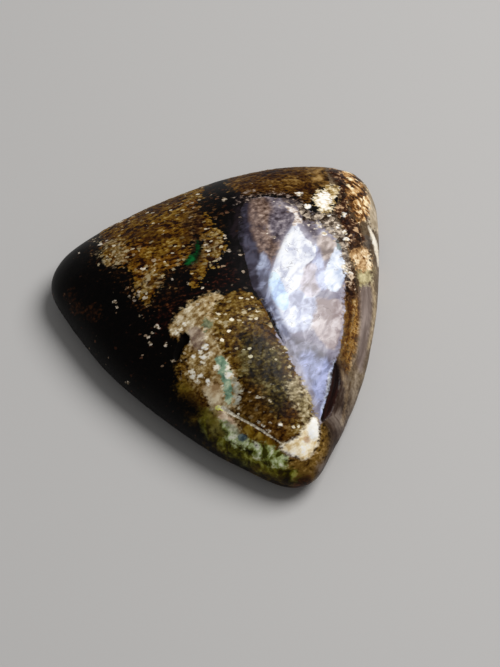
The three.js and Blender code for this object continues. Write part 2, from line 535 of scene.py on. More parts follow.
# The polished opal face: milky lavender opal, flat and glassy, cloudy white in the middle and sky
# blue, mauve and tan round it. The whitest of the middle and of the right lobe is partly painted
# reflection of the light on the polish. A slate band runs down its left edge, and brown grains are
# caught in it at the top.
FACE_OUTLINES = {
    "opal_face": [
        (245, 202), (239.5, 217), (238.3, 229), (238.5, 241), (244, 252), (246.5, 262),
        (248.5, 272), (251.5, 285), (257, 295), (262, 305), (266, 315), (270, 326), (275, 336),
        (279, 344), (286, 360), (294, 374), (301, 390), (308, 408), (316, 422), (323, 422),
        (329, 399), (334, 383), (338, 364), (343, 348), (347, 332), (348, 303), (348.5, 285),
        (348, 271), (346, 258), (343, 240), (338, 228), (328, 220), (318, 215), (308, 209),
        (300, 203), (285, 199), (272, 197.5), (258, 198),
    ],
    "slate_band": [
        (234, 198), (230, 230), (234, 252), (240, 275), (249, 297), (259, 312), (269, 328),
        (279, 324), (276, 309), (271, 300), (267, 290), (268, 280), (269, 270), (262, 256),
        (256, 244), (251, 228), (249, 213), (249, 200),
    ],
    "slate_light": [
        (262, 254), (269, 258), (272, 268), (269, 280), (271, 292), (276, 304), (283, 320),
        (290, 334), (283, 336), (275, 322), (268, 308), (261, 294), (258, 276),
    ],
    "brown_grains": [
        (242, 198), (259, 196), (268, 199), (272, 210), (268, 222), (268, 233), (275, 239),
        (279, 248), (274, 262), (267, 268), (260, 263), (254, 250), (248, 236), (244, 218),
    ],
    "grey_top": [
        (250, 196), (270, 190), (288, 192), (304, 202), (312, 215), (318, 230), (316, 240),
        (306, 230), (297, 221), (289, 230), (280, 244), (272, 252), (266, 240), (264, 222),
    ],
    "white_core": [
        (295.5, 223), (300, 230), (304, 236), (311, 243), (315, 248), (316, 256), (311, 262),
        (306, 266), (304, 276), (299, 285), (292, 291), (282, 290), (273, 281), (272, 269),
        (276, 257), (282, 245), (287, 233),
    ],
    "white_spur": [
        (287, 207), (296, 210), (299, 213), (304, 226), (300, 222), (296, 226), (292, 224),
        (295, 216),
    ],
    "front_white": [
        (279, 312), (283, 302), (289, 300), (295, 306), (303, 310), (305, 318), (298, 324),
        (288, 326),
    ],
    "core_tan": [
        (305, 266), (313, 263), (317, 268), (316, 280), (320, 290), (312, 297), (303, 292),
        (301, 284),
    ],
    "dark_slit": [(302, 196), (308, 200), (311, 208), (307, 220), (303.5, 221), (301, 210)],
    "sky_blue": [
        (269, 277), (274, 272), (281, 279), (286, 291), (289, 302), (286, 310), (278.5, 307),
        (272.5, 300), (267.5, 288.5),
    ],
    "right_lobe": [
        (335, 248), (341, 253), (346.5, 264), (349, 272), (345.5, 279), (342, 285), (337, 291.5),
        (332, 291.5), (327, 286), (325, 273), (328, 262),
    ],
    "mauve_streak": [
        (315, 245), (320, 252), (324, 262), (326, 274), (327, 287), (320, 290), (314, 282),
        (311, 268), (312, 257),
    ],
    "tan_corner": [
        (318, 236), (326, 236), (334, 240), (337, 250), (331, 259), (325, 261), (320, 250),
    ],
    "milky": [
        (268, 300), (285, 288), (300, 284), (312, 290), (318, 305), (312, 320), (305, 331),
        (290, 334), (280, 328), (273, 314),
    ],
    "pink_tan": [
        (310, 300), (325, 298), (340, 300), (343, 318), (341, 335), (337, 348), (330, 350),
        (320, 340), (312, 325),
    ],
    "grey_band": [
        (279, 330), (290, 334), (303, 340), (318, 347), (332, 358), (333, 367), (322, 364),
        (308, 360), (298, 366), (289, 354),
    ],
    "blue_tail": [
        (300, 356), (310, 352), (322, 357), (332, 366), (329, 384), (325, 400), (321, 414),
        (316, 400), (309, 385), (303, 370),
    ],
    "teal_fleck": [(337, 240), (343, 242), (343.5, 249), (339, 250)],
}
FACE_LINES = {
    "dark_veil": [(239, 198, 8), (236, 225, 7), (237, 248, 5), (242, 275, 4), (252, 297, 2.5)],
    "top_veil": [
        (240, 200, 3.0), (250, 197.5, 3.6), (262, 197, 3.0), (275, 196.5, 2.6), (288, 199, 2.8),
        (298, 203, 2.2),
    ],
    "tail_edge": [
        (336, 360, 0.5), (332, 372, 2.6), (329.5, 384, 1.6), (326, 398, 1.3), (322.5, 409, 1.9),
        (320.5, 418, 1.0),
    ],
}

mark_outlines(FACE_OUTLINES)
mark_lines(FACE_LINES)

shard_luck = where.stretched(0.95, 0.5, 0.7, 55, shift=8.2).pieces()[1]
opal_cloud = veils * 0.75 + shard_luck * 0.09 + mottle * 0.16
in_face = within("opal_face", soft=0.06, stray=0.08, by=flowing)
in_slate = within("slate_band", soft=0.3, stray=0.2, by=flowing)
finish.lay(in_face * (1 - in_slate), tones(opal_cloud, "8a8494 a8a4b2 c4c0cc"))
finish.rub(in_face, rough=0.35, polish=0.3)


def lay_in_face(name, share, palette, soft=0.2, stray=0.2, texture=opal_cloud):
    finish.lay(within(name, soft, stray, by=flowing) * in_face * share, tones(texture, palette))


lay_in_face("pink_tan", 0.9, "a08f8c b9aaaa d3c7c5 e6dddd")
lay_in_face("milky", 0.9, "b1b4cb d6dbef f4f9ff")
lay_in_face("mauve_streak", 0.9, "acabc3 c2c7e3 dde5fb")
lay_in_face("tan_corner", 0.9, "897a71 bdaca2 e4d7d0")
lay_in_face("front_white", 0.9, "b7bcd8 e5e9f6 fefffe", soft=0.15)
# The white core: partly the opal's milky white, partly a painted reflection of the light on the
# polish.
lay_in_face("white_core", 1.0, "cacdde f4f6fc fffffe", soft=0.1, stray=0.12)
lay_in_face("core_tan", 0.8, "ada0a0 d0c7ce eee8f1", soft=0.15)
lay_in_face("sky_blue", 0.95, "b2c8ef d1e8fc ebfafe", soft=0.1, stray=0.12)
# The right lobe: partly pale opal, partly painted sheen of the light on the polish.
lay_in_face("right_lobe", 1.0, "b8c4dc e2e8f4 fafcff", soft=0.1, stray=0.15)
lay_in_face("grey_band", 0.8, "443f44 6f6d7c 9e9eb5", soft=0.5)
lay_in_face("blue_tail", 0.95, "6b6d87 949bc0 bac1e9", soft=0.5)
# A painted highlight: a thin bright line along the crisp right edge of the tail, where light would
# catch it.
lay_in_face("tail_edge", 0.95, "b4bef0 dae4fa fafcff", soft=0.12, stray=0.08)
top_cloud = mottle * 0.35 + grains * 0.4 + veils * 0.25
lay_in_face("grey_top", 0.95, "2c2024 5a5058 8a8086 c4b8b4", soft=0.4, texture=top_cloud)
lay_in_face("brown_grains", 0.9, "2c180c 5a4232 8c7262 c0aa9a", soft=0.4, texture=top_cloud)
finish.lay(in_face * within("grey_top", soft=0.3, stray=0.3) * flecks(0.16),
           tones(fleck_shade, "6c5a4c a89888 e0d4c4"))
finish.lay(in_face * in_slate, tones(veils, "241e2a 36323f 4c4a5a"))
lay_in_face("slate_light", 0.9, "5a5a6d 82869f afb7ce", soft=0.25, texture=veils)
finish.lay(within("dark_veil", soft=0.55, stray=0.35) * 0.97, tones(veils, "040202 0e090a 1c1418"))
finish.lay(within("dark_veil", soft=0.4) * flecks(0.16),
           tones(fleck_shade, "2a1a10 6c5844 b8a894"))
lay_in_face("white_spur", 1.0, "a7907c e7dad1 ffffff", soft=0.1, texture=grains)
lay_in_face("dark_slit", 1.0, "160b05 312018 614d41", soft=0.12, texture=grains)
lay_in_face("teal_fleck", 0.8, "49605e 5e7470 6f827d", soft=0.1)
fracture_field = where.stretched(2.4, 1.6, 2.0, 25, shift=1.9).clouds(detail=3.0, rough=0.55)
fractures = fracture_field.step(0.49, 0.5) * fracture_field.step(0.51, 0.5)
finish.lay(in_face * fractures * mottle.step(0.42, 0.56) * 0.5, paint("5c505c"))


# The swelling in front of the face: olive-brown sandy matrix under a thin skin of clear opal, amber
# at its lower left and paler along its right side. A border of cream and pinkish opal down its left
# side holds blue-green flecks.
SWELLING_OUTLINES = {
    "swelling": [
        (171, 330), (176, 318), (185, 308), (199, 298), (213, 293.5), (225, 294), (236, 290.5),
        (247, 292), (258, 298), (264, 304), (270, 316), (276, 331), (283, 346), (292, 362),
        (300, 378), (307, 394), (313, 408), (317, 418), (324, 430), (322, 446), (310, 462),
        (290, 462), (270, 458), (252, 452), (236, 446), (222, 434), (212, 420), (200, 410),
        (190, 398), (183, 384), (180, 366), (182, 352), (181, 342), (172, 336),
    ],
    "olive_shade": [
        (240, 335), (262, 332), (276, 350), (290, 378), (292, 400), (280, 416), (262, 410),
        (248, 396), (240, 370),
    ],
    "low_amber": [
        (240, 388), (250, 382), (262, 392), (270, 408), (272, 424), (262, 428), (250, 420),
        (241, 412),
    ],
    "pale_rim": [
        (290, 384), (297, 380), (305, 392), (312, 410), (312, 418), (304, 422), (297, 412),
        (291, 398),
    ],
    "rim_flecks": [
        (268, 318), (277, 332), (288, 348), (302, 374), (313, 400), (318, 415), (312, 428),
        (303, 408), (290, 380), (278, 356), (268, 336),
    ],
    "cream_border": [
        (171, 331), (176, 318), (185, 308), (200, 297.5), (213, 293), (223, 296), (213, 304),
        (211, 319), (211, 333), (217, 343), (224, 355), (231, 365), (235, 376), (240, 386),
        (240.5, 398), (238, 410), (228, 411), (236, 420), (240, 430), (236, 436), (228, 436),
        (219, 426), (212, 414), (208, 404), (205, 396), (199, 388), (195, 380), (192, 370),
        (190, 360), (189, 350), (186, 338), (176, 334),
    ],
    "pinkish": [(189, 330), (200, 328), (203, 340), (202, 350), (195, 350), (190, 345)],
    "gold_border": [
        (186, 347), (194, 350), (203, 348), (209, 354), (212, 364), (213, 376), (209, 386),
        (201, 391), (194, 384), (189, 372), (186, 360),
    ],
    "rose_border": [
        (203, 388), (210, 383), (216, 384), (220, 392), (222, 402), (219, 407), (212, 404),
        (207, 397),
    ],
    "small_teal": [(202, 326), (206, 320), (209.5, 322), (209, 328), (204, 330)],
    "long_teal": [
        (217, 358), (222, 356), (228, 363), (231.5, 372), (230.5, 380), (232.5, 391), (231.5, 403),
        (227, 405), (224.5, 396), (223, 384), (218.5, 373), (216, 365),
    ],
    "lilac_lobe": [
        (232, 378), (237, 381), (240.5, 388), (240.5, 400), (238, 408), (233.5, 405), (233, 392),
    ],
    "amber_side": [
        (181, 362), (189, 358), (195, 366), (198, 378), (205, 391), (208, 402), (212, 415),
        (217, 426), (206, 420), (196, 409), (186, 397), (180, 380),
    ],
    "rosy": [
        (218, 411.5), (224, 411.5), (231, 417), (235.5, 425), (232, 430), (224, 424), (219, 418),
    ],
    "amber_window": [
        (243, 423.5), (250, 424), (262, 432), (274, 439), (283, 446), (276, 448.5), (262, 445),
        (250, 440.5), (244, 433),
    ],
}
SWELLING_LINES = {
    "top_streaks": [(178, 322, 0.7), (186, 313, 1.0), (196, 306, 1.1), (206, 301, 0.8)],
}
SWELLING_SPOTS = {
    "cream_grains": [
        (217, 367.5, 2.8), (228.3, 367.5, 2.6), (229.2, 375.8, 3.0), (192.5, 371.5, 1.8),
        (193.3, 377, 1.6), (200, 376, 2.0), (207.5, 380, 1.8), (208, 384, 1.5), (198, 382, 1.4),
        (205, 346.7, 2.4), (200.8, 352, 2.0), (204, 357, 2.2), (203.5, 363, 1.6), (210, 353, 1.4),
        (185, 324, 1.8), (263, 426, 1.0), (268.5, 431, 1.2), (281, 424, 1.3), (270, 423, 0.8),
        (258, 397, 0.8), (271, 401, 0.8), (250, 392, 0.7), (181, 329, 1.5), (176, 333, 1.2),
        (193, 356, 1.2), (226, 373, 1.2), (189, 341, 1.2),
    ],
    "yellow_dot": [(218.5, 408, 2.4), (222.5, 408.5, 2.4)],
}

mark_outlines(SWELLING_OUTLINES)
mark_lines(SWELLING_LINES)
mark_spots(SWELLING_SPOTS)

in_swelling = within("swelling", soft=0.15, stray=0.25)
finish.lay_matrix(in_swelling, "241000 462c04 644810 7e642c a08a5c", "140500",
                  "7c6c44 b8a884 fcf4dc", dark_many=0.24, pale_many=0.36 + (patches - 0.5) * 2,
                  texture=speckle)
finish.lay(in_swelling * tint.step(0.5, 0.6) * 0.6,
           tones(speckle, "1c0800 442002 64380a", low=0.4, high=0.6))
finish.rub(in_swelling, rough=0.35, polish=0.04)
olive = within("olive_shade", soft=0.9, stray=0.6) * 0.85
finish.lay_matrix(olive, "0a0700 1c1604 322a0c 4c421c 6e6640", "060400", "4c4424 847a54 dcd4b4",
                  dark_many=0.35, pale_many=0.22 + (patches - 0.5) * 1.4, texture=speckle)
finish.lay(in_swelling * within("rim_flecks", soft=0.4, stray=0.5) * flecks(0.55),
           tones(fleck_shade, "746444 a89874 e8dcbc", low=0.0, high=1.0))


def lay_in_swelling(name, share, palette, soft=0.2, stray=0.3, texture=grains):
    finish.lay(within(name, soft, stray) * share, tones(texture, palette))


lay_in_swelling("low_amber", 0.75, "100400 2c1600 503206 805c24", soft=0.6, stray=0.5,
                texture=speckle)
lay_in_swelling("pale_rim", 0.8, "5c4a28 8c7c54 bcac88 ece0c4", soft=0.5, stray=0.4,
                texture=speckle)
lay_in_swelling("amber_side", 0.85, "230a00 4c2c02 7c5711 a58842", soft=0.7, stray=0.4)
border_cloud = blotches * 0.5 + mottle * 0.5
lay_in_swelling("cream_border", 0.95, "5c3e14 8c6e40 ac9468 d0be9a f6e9cd", soft=0.25,
                texture=border_cloud)
finish.lay(within("cream_border", soft=0.12) * flecks(0.2),
           tones(fleck_shade, "6c5830 d0c4a4 fcf6e4"))
lay_in_swelling("gold_border", 0.9, "2c1600 5a3c0c 8a6a30 c0a878 f0e4c0", soft=0.5, texture=sand)
lay_in_swelling("top_streaks", 0.5, "a89878 d4c8ac fcf4e0", soft=0.12)
lay_in_swelling("pinkish", 0.8, "68524c 8d7769 c0ab98", soft=0.3, texture=blotches)
lay_in_swelling("rose_border", 0.9, "a88860 ccb48e ecdcba", soft=0.3, texture=blotches)
lay_in_swelling("rosy", 0.95, "c09c80 e4c4a4 fce8cc", stray=0.15, texture=blotches)
lay_in_swelling("lilac_lobe", 0.85, "8a8468 aaac9e c8cac4", texture=blotches)
lay_in_swelling("small_teal", 0.85, "23331f 546445 878d6c", soft=0.15)
lay_in_swelling("long_teal", 0.95, "587963 8aa88d d0dab8", soft=0.12, stray=0.15, texture=blotches)
lay_in_swelling("amber_window", 0.95, "482c00 785808 ac903c", soft=0.2, texture=veils)
lay_in_swelling("cream_grains", 0.95, "d0bc90 fcf4dc ffffff", soft=0.1, stray=0.1)
lay_in_swelling("yellow_dot", 1.0, "ceca45 ffff84 ffffdd", soft=0.05, stray=0.06)


# The translucent lower edge: olive and mint-green opal over dark ironstone, glowing golden brown
# where it thins out, and ending in a cream tip whose whitest part and small lens are painted
# highlight.
EDGE_OUTLINES = {
    "edge_glow": [
        (182, 384), (192, 392), (202, 402), (210, 412), (222, 430), (240, 446), (262, 458),
        (290, 468), (294, 480), (270, 478), (246, 468), (226, 453), (208, 436), (193, 416),
        (183, 400),
    ],
    "green_band": [
        (203, 412), (212, 418), (221, 430), (232, 441), (242, 448), (254, 453), (268, 458),
        (282, 462), (295, 467), (304, 471), (300, 481), (288, 478), (272, 474), (255, 467),
        (240, 460), (227, 452), (215, 441), (204, 427),
    ],
    "mint": [
        (221, 423), (228, 430), (236, 436), (248, 438), (257, 442), (266, 444), (276, 448),
        (284, 454), (288, 462), (281, 467), (270, 462), (258, 457), (246, 451), (234, 445),
        (225, 436),
    ],
    "sage": [(222, 421), (233, 424), (239, 432), (238, 441), (232, 443), (226, 434)],
    "blue_spot": [(238, 436), (243, 434), (247.5, 435.5), (246, 440.5), (240, 442)],
    "cream_tip": [
        (280, 445), (294, 438), (304, 430), (309, 420), (313, 416), (317.5, 420), (319.5, 430),
        (319, 440), (315, 448), (309, 457), (304.5, 460), (295, 457), (285, 452),
    ],
    "tip_lens": [
        (313, 417), (317, 421), (318.5, 431), (317, 439), (312, 440), (308.5, 434), (308, 428),
        (310, 422),
    ],
    "tip_spot": [(304, 438), (307, 436), (310.5, 439), (308, 443), (304.5, 442)],
    "tip_brown": [
        (284, 464), (296, 457), (306, 459), (316, 449), (320, 432), (323, 423), (330, 432),
        (331, 448), (325, 462), (317, 476), (310, 484), (303, 488), (293, 486), (296, 474),
    ],
    "tip_dark": [(296, 478), (303, 474), (310, 475), (313, 484), (305, 495), (293, 492)],
}
EDGE_SPOTS = {
    "edge_gold": [(216, 424, 4.5), (210, 414, 3.5), (222, 433, 3.0)],
}

mark_outlines(EDGE_OUTLINES)
mark_spots(EDGE_SPOTS)

lay_in_swelling("edge_glow", 0.95, "0c0500 2a1900 4e3806 766018", soft=1.0, stray=0.5,
                texture=patches)
edge_cloud = (veils + blotches - 1) * 0.8 + 0.5
lay_in_swelling("green_band", 0.95, "221a00 504a02 767214 a8a850", soft=0.7, stray=0.2,
                texture=edge_cloud)
lay_in_swelling("edge_gold", 0.85, "4c4008 7c6e28 a89c50", soft=0.6, stray=0.3, texture=patches)
lay_in_swelling("tip_brown", 0.9, "341a00 745620 c09c5c", soft=0.4, texture=sand)
lay_in_swelling("tip_dark", 0.9, "100200 280801 4e1f07", soft=0.3)
lay_in_swelling("sage", 0.85, "5c6450 9ca284 e0e2c4", soft=0.3, stray=0.15, texture=edge_cloud)
lay_in_swelling("mint", 0.95, "3a3c04 828a3c ccdaa4 ffffe8", soft=0.35, stray=0.35,
                texture=edge_cloud)
lay_in_swelling("blue_spot", 0.9, "283e4c 4a5e67 768787", soft=0.12, stray=0.1)
# The cream tip: partly cream opal, partly a painted highlight in its white patches.
lay_in_swelling("cream_tip", 0.97, "d8bc88 fff2d4 ffffff", soft=0.25, stray=0.18,
                texture=border_cloud)
lay_in_swelling("tip_spot", 0.7, "83542f a97a4e c5986c", soft=0.15, stray=0.1)
# A painted highlight, near white, on the small lens-shaped bump at the tip.
lay_in_swelling("tip_lens", 1.0, "fcf8ec ffffff", soft=0.15, stray=0.1)


# The right flank: banded sandy ironstone whose bands run along the edge of the stone, gold and dark
# at the far corner, tan and olive in the middle and smooth grey-brown near the tip, that grey partly
# a painted reflection. A painted grey stripe of reflection and a painted highlight along the rim lie
# on it too. Crumbs of cream rock lie along its border with the face.
FLANK_OUTLINES = {
    "far_band": [
        (231, 160), (232, 184), (237, 192), (246, 198), (262, 195.5), (280, 197), (293, 194),
        (301, 199), (308, 204), (316, 196), (322, 188), (330, 178), (333, 160),
    ],
    "far_olive": [(312, 164), (328, 166), (331, 180), (326, 188), (316, 187), (311, 176)],
    "flank": [
        (328, 150), (328, 177), (333, 188), (338, 199), (333, 212), (339, 224), (344, 238),
        (346, 256), (347, 271), (345.5, 285), (345, 303), (343.5, 321), (340, 348), (335.5, 362),
        (331, 384), (326.5, 400), (321.5, 419), (328, 427), (331, 440), (327, 456), (319, 470),
        (311, 484), (308, 500), (400, 440), (400, 150),
    ],
    "cream_mass": [
        (314, 193), (320, 189), (328, 187), (336, 187), (339, 193), (335, 202), (331, 210),
        (324, 212), (317, 208), (313, 201),
    ],
    "crumbled_edge": [
        (296, 202), (306, 208), (318, 211), (331, 212), (339, 222), (344, 236), (347, 250),
        (350, 263), (350, 276), (345, 280), (344, 262), (340, 245), (331, 234), (319, 226),
        (307, 221), (301, 213),
    ],
    "dark_pocket": [
        (327, 170), (346, 172), (348, 200), (352, 215), (360, 222), (361, 245), (349, 249),
        (345, 236), (339, 222), (334, 211), (339, 200), (337, 186),
    ],
    "gold_flakes": [
        (344, 168), (356, 172), (365, 184), (368, 200), (367, 219), (359, 222), (352, 212),
        (348, 200), (346, 186),
    ],
    "far_rim": [
        (362, 176), (376, 180), (384, 215), (384, 230), (374, 229), (368, 222), (367, 205),
    ],
    "tan_patch": [
        (348, 244), (358, 240), (367, 247), (371, 258), (368, 270), (358, 270), (351, 262),
    ],
    "olive_patch": [(357, 270), (368, 265), (372, 274), (370, 283), (363, 287), (358, 282)],
    "dark_specks": [
        (346, 260), (351, 264), (357, 272), (359, 284), (356, 297), (349, 298), (345, 286),
    ],
    "golden_strip": [
        (346, 290), (353, 288), (359, 296), (361, 314), (359, 334), (355, 352), (350, 366),
        (345, 374), (341, 364), (341, 350), (343, 328), (344, 308),
    ],
    "grey_chip": [(363, 238), (368, 235), (371, 242), (370, 249), (365, 248), (362, 243)],
    "cream_core": [(317, 196), (322, 191), (329, 194), (331, 202), (327, 209), (319, 206)],
    "grey_stripe": [
        (360, 287), (370, 285), (373, 300), (371, 325), (367, 350), (361, 372), (357, 364),
        (359, 340), (360, 312),
    ],
    "red_wedge": [
        (334.5, 361), (339, 366), (340.5, 380), (336.5, 400), (330, 416), (321, 421), (326, 401),
        (331, 384),
    ],
    "low_flank": [
        (334, 362), (343, 371), (351, 392), (353, 420), (346, 445), (334, 462), (320, 478),
        (316, 470), (326, 456), (330, 440), (327, 426), (323, 415),
    ],
}
FLANK_LINES = {
    "bright_rim": [
        (368.5, 226, 0.8), (371.5, 233, 1.5), (375, 244, 1.9), (377.5, 256, 1.4),
        (378.5, 266, 0.7),
    ],
    "dark_streaks": [
        (349, 284, 2.0), (351, 296, 1.6), (348.5, 308, 1.2), (350, 318, 1.6), (346.5, 332, 0.8),
        (348, 344, 1.6), (344.5, 356, 1.8), (343, 368, 2.2), (341, 380, 1.6),
    ],
    "gold_streaks": [
        (353, 300, 0.6), (355.5, 312, 1.2), (353.5, 326, 1.4), (352.5, 340, 1.2), (348, 352, 1.6),
        (348, 362, 0.8),
    ],
    "low_streak": [(341, 370, 0.6), (346, 385, 1.3), (346.5, 400, 1.2), (343, 425, 0.6)],
    "side_streak": [(354, 360, 0.8), (356, 378, 1.8), (352, 402, 1.4), (346, 428, 0.6)],
    "tan_line": [(372, 282, 0.8), (374.5, 300, 1.3), (373.5, 322, 1.2), (369, 348, 0.8)],
}
FLANK_SPOTS = {
    "cream_crumbs": [
        (300, 194, 2.0), (307.5, 206.5, 2.4), (318.5, 223, 1.8), (319.5, 226.5, 1.8),
        (324, 233.5, 2.2), (344, 214, 1.8), (334, 234, 0.9), (344.5, 232, 1.6), (346.5, 240, 1.5),
        (344, 267, 2.0), (347, 272, 1.6), (352.5, 273, 1.2), (338, 226, 1.2), (330, 216, 1.2),
    ],
}

mark_outlines(FLANK_OUTLINES)
mark_lines(FLANK_LINES)
mark_spots(FLANK_SPOTS)


# Bands along the flank: the distance from the face's edge crosses them, and the stone's length runs
# along them.
BAND_PITCH = 0.6 * MM
BAND_LENGTH = 5.0 * MM

flank_depths = np.empty(len(stone_mesh.vertices))
stone_mesh.attributes["flank"].data.foreach_get("value", flank_depths)
corner_vertices = np.empty(len(stone_mesh.loops), int)
stone_mesh.loops.foreach_get("vertex_index", corner_vertices)
along_flank = np.stack([flank_depths * MM / BAND_PITCH, places[:, 1] / BAND_LENGTH], 1)
flank_map = stone_mesh.uv_layers.new(name="along_flank").uv
flank_map.foreach_set("vector", along_flank[corner_vertices].astype(np.float32).ravel())


def bands_in(along):
    return along.clouds(detail=4.0, rough=0.6, sway=0.3)


bands = bands_in(finish_tree.node("ShaderNodeUVMap", {"uv_map": "along_flank"}, {}))
banded_grain = bands * 0.4 + grains * 0.35 + patches * 0.25
flakes = where.stretched(1.1, 0.42, 0.6, -40).clouds(detail=2.0, rough=0.6)
crumb_luck = where.stretched(0.8, 0.55, 0.6, 50, shift=5.1).pieces()[1]
crumbs = crumb_luck * 0.2 + fine * 0.3 + blotches * 0.5


def lay_on_flank(name, share, palette, soft=0.2, stray=0.35, texture=banded_grain):
    finish.lay(within(name, soft, stray) * share, tones(texture, palette))


lay_on_flank("far_band", 0.95, "0a0100 2e1200 60400e 947440", texture=sand, stray=0.6)
finish.lay(within("far_band", stray=0.6) * flecks(0.14),
           tones(fleck_shade, "6c583c b8a688 ece0cc"))
lay_on_flank("far_olive", 0.9, "2c1802 785624 ac8a54", texture=blotches, soft=0.5)
in_flank = within("flank", soft=0.08, stray=0.1)
finish.lay(in_flank, tones(banded_grain, "301e10 58452f 7a6850 a08e74"))
finish.rub(in_flank, rough=0.4, polish=0.06)
streaks = bands * 0.35 + blotches * 0.4 + fine * 0.25
lay_on_flank("golden_strip", 0.95, "1c0600 542c06 8c6428 c4ac80", soft=0.35, texture=streaks)
lay_on_flank("gold_streaks", 0.7, "7c5010 b08440 dcc090", soft=0.25, stray=0.5)
lay_on_flank("dark_streaks", 0.85, "0c0100 240c00 4c2808", soft=0.25, stray=0.5)
# A painted reflection: a grey-lavender stripe of sheen down the glossy flank.
lay_on_flank("grey_stripe", 0.95, "685850 7e6e66 9c8c84", soft=0.3, stray=0.1, texture=bands)
lay_on_flank("tan_line", 0.7, "9c8460 ccb48c f4e0c0", soft=0.25, stray=0.08)
lay_on_flank("dark_specks", 0.95, "0a0100 220c02 5c3e26 d8c0a4", texture=crumbs)
lay_on_flank("olive_patch", 0.9, "9c8c60 ccc094 ece0b4", soft=0.25, stray=0.3, texture=blotches)
lay_on_flank("tan_patch", 0.95, "5e3818 b08858 e0be90 fff0d0", soft=0.15, stray=0.35,
             texture=crumbs)
lay_on_flank("far_rim", 0.8, "847355 b09d80 e5d5bb", texture=patches)
lay_on_flank("grey_chip", 0.85, "2c2620 50463e 7c7064", soft=0.15, stray=0.15)
# A painted highlight: a near-white streak along the right rim.
lay_on_flank("bright_rim", 0.95, "e8d4b4 fff6e4 ffffff", soft=0.1, stray=0.05)
lay_on_flank("dark_pocket", 0.95, "080000 1e0600 42200a c8a47c", texture=crumbs)
flake_shade = flakes * 0.75 + crumb_luck * 0.2 + 0.03
lay_on_flank("gold_flakes", 0.95, "220800 6c4010 cc9c60 fff0c8", texture=flake_shade)
in_crumbs = within("crumbled_edge", soft=0.15, stray=0.3)
crumbled = blotches * 0.45 + fine * 0.35 + crumb_luck * 0.2
finish.lay(in_crumbs, tones(crumbled, "2c1e14 56483a 807266 a89884 d4c4b0", low=0.4, high=0.64))
finish.lay(within("top_veil", soft=0.25, stray=0.5) * 0.85,
           tones(grains, "060202 1e1414 4c3e38 a8988c"))
lay_on_flank("cream_mass", 1.0, "5c4010 a88c54 e0d0ac fff8e8", soft=0.12, stray=0.4,
             texture=border_cloud)
# The white core of the cream mass: partly cream rock, partly a painted highlight.
lay_on_flank("cream_core", 0.95, "e8d8b8 fffaf0 ffffff", soft=0.12, stray=0.25, texture=fine)
lay_on_flank("cream_crumbs", 0.95, "d4c09c fff6e4 ffffff", soft=0.08, stray=0.1, texture=fine)
finish.lay(within("tip_brown", soft=0.3, stray=0.6) * flecks(0.3) * in_flank,
           tones(fleck_shade, "4a3414 a08c64"))
# Brown ironstone near the tip, its grey partly a painted reflection on the gloss.
lay_on_flank("low_flank", 0.9, "140602 30201a 564840 7c6e64", soft=0.5,
             texture=bands * 0.5 + patches * 0.5)
lay_on_flank("low_streak", 0.7, "6c5238 947c5c b8a488", soft=0.25, stray=0.15, texture=bands)
lay_on_flank("side_streak", 0.6, "74604c 9c8a74 bcac98", soft=0.4, stray=0.2, texture=bands)
lay_on_flank("red_wedge", 0.97, "060000 160402 2c100a", soft=0.12, stray=0.1, texture=bands)


# Pits and scratches: the crack between the swelling and the face, a deep pit at the swelling's left
# end, and a pale scratch across its lower end.
CUT_OUTLINES = {
    "pit": [
        (180, 334), (185, 332.5), (189.3, 337), (188.5, 343), (184, 346.5), (181, 352),
        (179, 358.5), (175.5, 360.5), (174, 356), (176, 348), (179, 341),
    ],
}
CUT_LINES = {
    "crack": [
        (262, 300.5, 0.6), (268.4, 311, 1.1), (273.8, 323, 1.2), (279, 333, 1.3), (284, 343, 0.5),
    ],
    "scratch": [
        (222.5, 407.5, 1.8), (232, 414, 1.6), (243, 420, 0.9), (256, 427, 1.3), (270, 436, 1.0),
        (285, 446, 0.5),
    ],
}

mark_outlines(CUT_OUTLINES)
mark_lines(CUT_LINES)

finish.lay(within("scratch", soft=0.06, stray=0.03), tones(fine, "a89e88 ccc2ac f0e8d6"))
finish.lay(within("crack", soft=0.06, stray=0.05), paint("080200"))
in_pit = within("pit", soft=0.08, stray=0.12)
finish.lay(in_pit, paint("030100"))
finish.rub(in_pit, rough=0.8, polish=0.0)


# The ground back: plain brown ironstone, dull, with fine marks from the lap wheel. The photo doesn't
# show it, so it is finished as the backs of such stones usually are.
BACK_TOP = 0.5 * MM

keep_on_stone("height", places[:, 2])
lap_marks = where.stretched(6.0, 0.15, 1.0, 35).clouds(detail=2.0)
on_back = on_stone("height").step(BACK_TOP, BACK_TOP * 0.3)
finish.lay(on_back, tones(patches * 0.7 + lap_marks * 0.3, "22140c 3c2617 5a4028"))
finish.rub(on_back, rough=0.55, polish=0.0)


# The relief of the surface: sand grains stand a hair proud, the crumbled edge and the far corner are
# chipped in small steps, the pit, crack and scratch are cut in, and a ledge drops beside the tail of
# the face.
RELIEF_SIZES = {
    "Grain Height": 0.28 * MM,
    "Chip Depth": 0.6 * MM,
    "Chip Step": 0.07,
    "Band Height": 0.3 * MM,
    "Swell Height": 0.15 * MM,
    "Crack Depth": 0.2 * MM,
    "Pit Depth": 0.45 * MM,
    "Scratch Depth": 0.05 * MM,
    "Ledge Drop": 0.12 * MM,
    "Lens Height": 0.15 * MM,
}

relief = bpy.data.node_groups.new("stone_relief", "GeometryNodeTree")
relief.is_modifier = True
relief.interface.new_socket("Geometry", in_out="OUTPUT", socket_type="NodeSocketGeometry")
relief.interface.new_socket("Geometry", in_out="INPUT", socket_type="NodeSocketGeometry")
for size_name in RELIEF_SIZES:
    relief.interface.new_socket(size_name, in_out="INPUT", socket_type="NodeSocketFloat")
relief.interface.new_socket("Finish", in_out="INPUT", socket_type="NodeSocketMaterial")
relief_tree = Wire(relief)
given = relief.nodes.new("NodeGroupInput")


def size(name):
    return Wire(relief, given.outputs[name])


